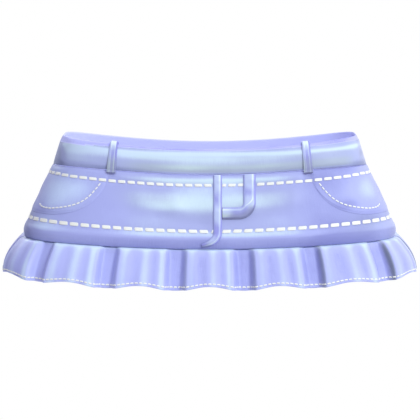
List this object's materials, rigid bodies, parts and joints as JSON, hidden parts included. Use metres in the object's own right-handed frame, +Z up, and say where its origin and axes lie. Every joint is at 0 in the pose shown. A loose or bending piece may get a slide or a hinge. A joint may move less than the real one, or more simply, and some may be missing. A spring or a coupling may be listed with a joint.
{
  "type": "ruffled denim mini skirt",
  "caption": "Very short flared denim skirt, worn shape and empty: padded waistband with belt loops, turned-up hem, gathered ruffle below, hip pockets and fly welts.",
  "frame": {"origin": "middle of the waist, halfway up the waistband, where the wearer's waist holds it", "axes": "+Z up, +Y to the wearer's back, +X to the wearer's left; the fly faces -Y"},
  "size_m": [0.4758, 0.311, 0.173],
  "materials": {
    "denim_waistband": "pale periwinkle denim with a soft sheen, padded and folded over",
    "denim_panel": "pale periwinkle denim, faintly faded, soft sheen",
    "denim_ruffle": "pale periwinkle denim, single layer, gathered",
    "denim_trim": "pale periwinkle denim strips, edges turned in",
    "thread": "off-white sewing thread"
  },
  "bodies": {
    "root": {"waistband": "denim_waistband", "front_panel": "denim_panel", "back_panel": "denim_panel", "ruffle_front": "denim_ruffle", "ruffle_back": "denim_ruffle", "pocket_left": "denim_panel", "pocket_right": "denim_panel", "fly_edge": "denim_trim", "fly_j": "denim_trim", "belt_loop_left": "denim_trim", "belt_loop_right": "denim_trim"}
  },
  "joints": []
}
